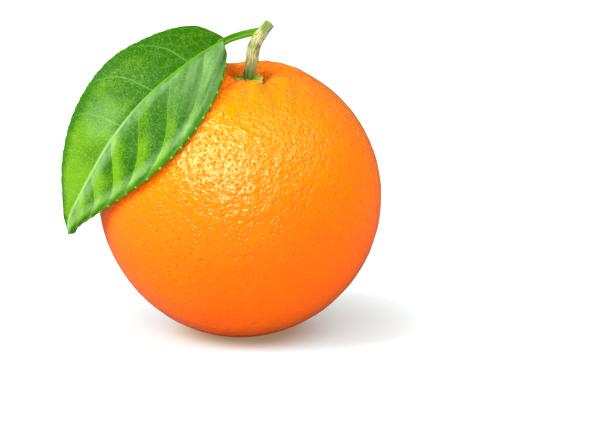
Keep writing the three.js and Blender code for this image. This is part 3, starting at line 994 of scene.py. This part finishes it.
stalk_green, tree, shader = new_material("fresh leaf stalk")
spot = add(tree, "ShaderNodeAttribute", {"attribute_name": "straight"}).outputs["Vector"]
parts = add(tree, "ShaderNodeSeparateXYZ", None, spot)
from_groove = add(tree, "ShaderNodeMath", PLUS, parts.outputs["X"], 0.2)
beside = add(tree, "ShaderNodeMath", ABSOLUTE, from_groove)
# Painted shade: the groove is darker than the shoulders, except beside the twig
shoulder = add(tree, "ShaderNodeMapRange", SMOOTH, Value=beside, From_Min=0.2, From_Max=0.75)
by_twig = add(tree, "ShaderNodeMapRange", SMOOTH, Value=parts.outputs["Z"], From_Min=4.0, From_Max=9.0,
              To_Min=0.5, To_Max=0.0)
out_of_groove_shade = add(tree, "ShaderNodeMath", LARGER, shoulder, by_twig)
stalk_tone = add(tree, "ShaderNodeMix", COLORS, out_of_groove_shade, linear("#2A5601"), linear("#4A7E02"))
fibres = add(tree, "ShaderNodeVectorMath", TIMES, spot, FIBRES_ALONG)
fibre_noise = add(tree, "ShaderNodeTexNoise", None, Vector=fibres, Scale=1.0, Detail=2.0)
relief = add(tree, "ShaderNodeBump", None, Strength=0.5, Distance=0.05 * MM, Height=fibre_noise)
connect(tree, shader, Base_Color=stalk_tone, Normal=relief, Roughness=0.45, Specular_IOR_Level=0.08,
        Subsurface_Weight=0.1, Subsurface_Scale=0.5 * MM)
stalk_bm = make_rod(STALK, STALK_SIDES, STALK_STEPS, stalk_section)
finish_piece("leaf_stalk", stalk_bm, stalk_green, "petiole")

# %% [markdown]
# ## The calyx
#
# The calyx is the small green star that held the blossom. Its five blunt lobes lie on the floor of the
# stem basin and curl up its wall. A ball is flattened to a lens that follows the floor, and its outline is
# drawn out into the lobes. The star is turned until one lobe shows over the basin's rim, as in the photo.
# It is mottled green and yellow, with a fine dry grain.

# %% Calyx
CALYX_LOBES = 5
CALYX_TURN = math.radians(-35)
LOBE_RADIUS = 4.7
NOTCH_RADIUS = 3.3
LOBE_BLUNTNESS = 0.4
CALYX_THICKNESS = 1.7
FLOOR_GAP = 0.1
WRINKLE_HEIGHT = 0.1
WRINKLES_ACROSS = 4
CALYX_SIDES = 120
CALYX_RINGS = 40
BLOTCH_SIZE = 2.5 * MM
CALYX_GRAIN_SIZE = 0.4 * MM


def make_calyx():
    """The calyx as one closed body, in metres."""
    bm = bmesh.new()
    bmesh.ops.create_uvsphere(bm, u_segments=CALYX_SIDES, v_segments=CALYX_RINGS, radius=1)
    centre = Vector((0, 0, rest_height))
    for vert in bm.verts:
        around = math.atan2(vert.co.y, vert.co.x)
        lobe = 0.5 + 0.5 * math.cos(CALYX_LOBES * (around - CALYX_TURN))
        edge = NOTCH_RADIUS + (LOBE_RADIUS - NOTCH_RADIUS) * lobe ** LOBE_BLUNTNESS
        reach = math.hypot(vert.co.x, vert.co.y)
        polar = reach * edge / EQUATOR_RADIUS
        wrinkle_spot = Vector((vert.co.x, vert.co.y, 0)) * WRINKLES_ACROSS
        wrinkle = WRINKLE_HEIGHT * noise.noise(wrinkle_spot)
        height = FLOOR_GAP + (CALYX_THICKNESS + wrinkle) * (1 + vert.co.z) / 2
        outward = math.sin(polar)
        direction = Vector((outward * math.cos(around), outward * math.sin(around), math.cos(polar)))
        vert.co = (centre + tilt @ direction * (peel_radius(polar, around) + height)) * MM
    bmesh.ops.recalc_face_normals(bm, faces=bm.faces[:])
    return bm


calyx_green, tree, shader = new_material("fresh calyx")
place = add(tree, "ShaderNodeTexCoord").outputs["Object"]
blotches = add(tree, "ShaderNodeTexNoise", None, Vector=place, Scale=1 / BLOTCH_SIZE, Detail=3.0)
blotch_share = add(tree, "ShaderNodeMapRange", None, Value=blotches, From_Min=0.35, From_Max=0.65)
calyx_tone = add(tree, "ShaderNodeMix", COLORS, blotch_share, linear("#4F6A12"), linear("#B0B830"))
grain = add(tree, "ShaderNodeTexNoise", None, Vector=place, Scale=1 / CALYX_GRAIN_SIZE, Detail=2.0)
relief = add(tree, "ShaderNodeBump", None, Strength=0.6, Distance=0.08 * MM, Height=grain)
connect(tree, shader, Base_Color=calyx_tone, Normal=relief, Roughness=0.5)
finish_piece("calyx_star", make_calyx(), calyx_green, "calyx")
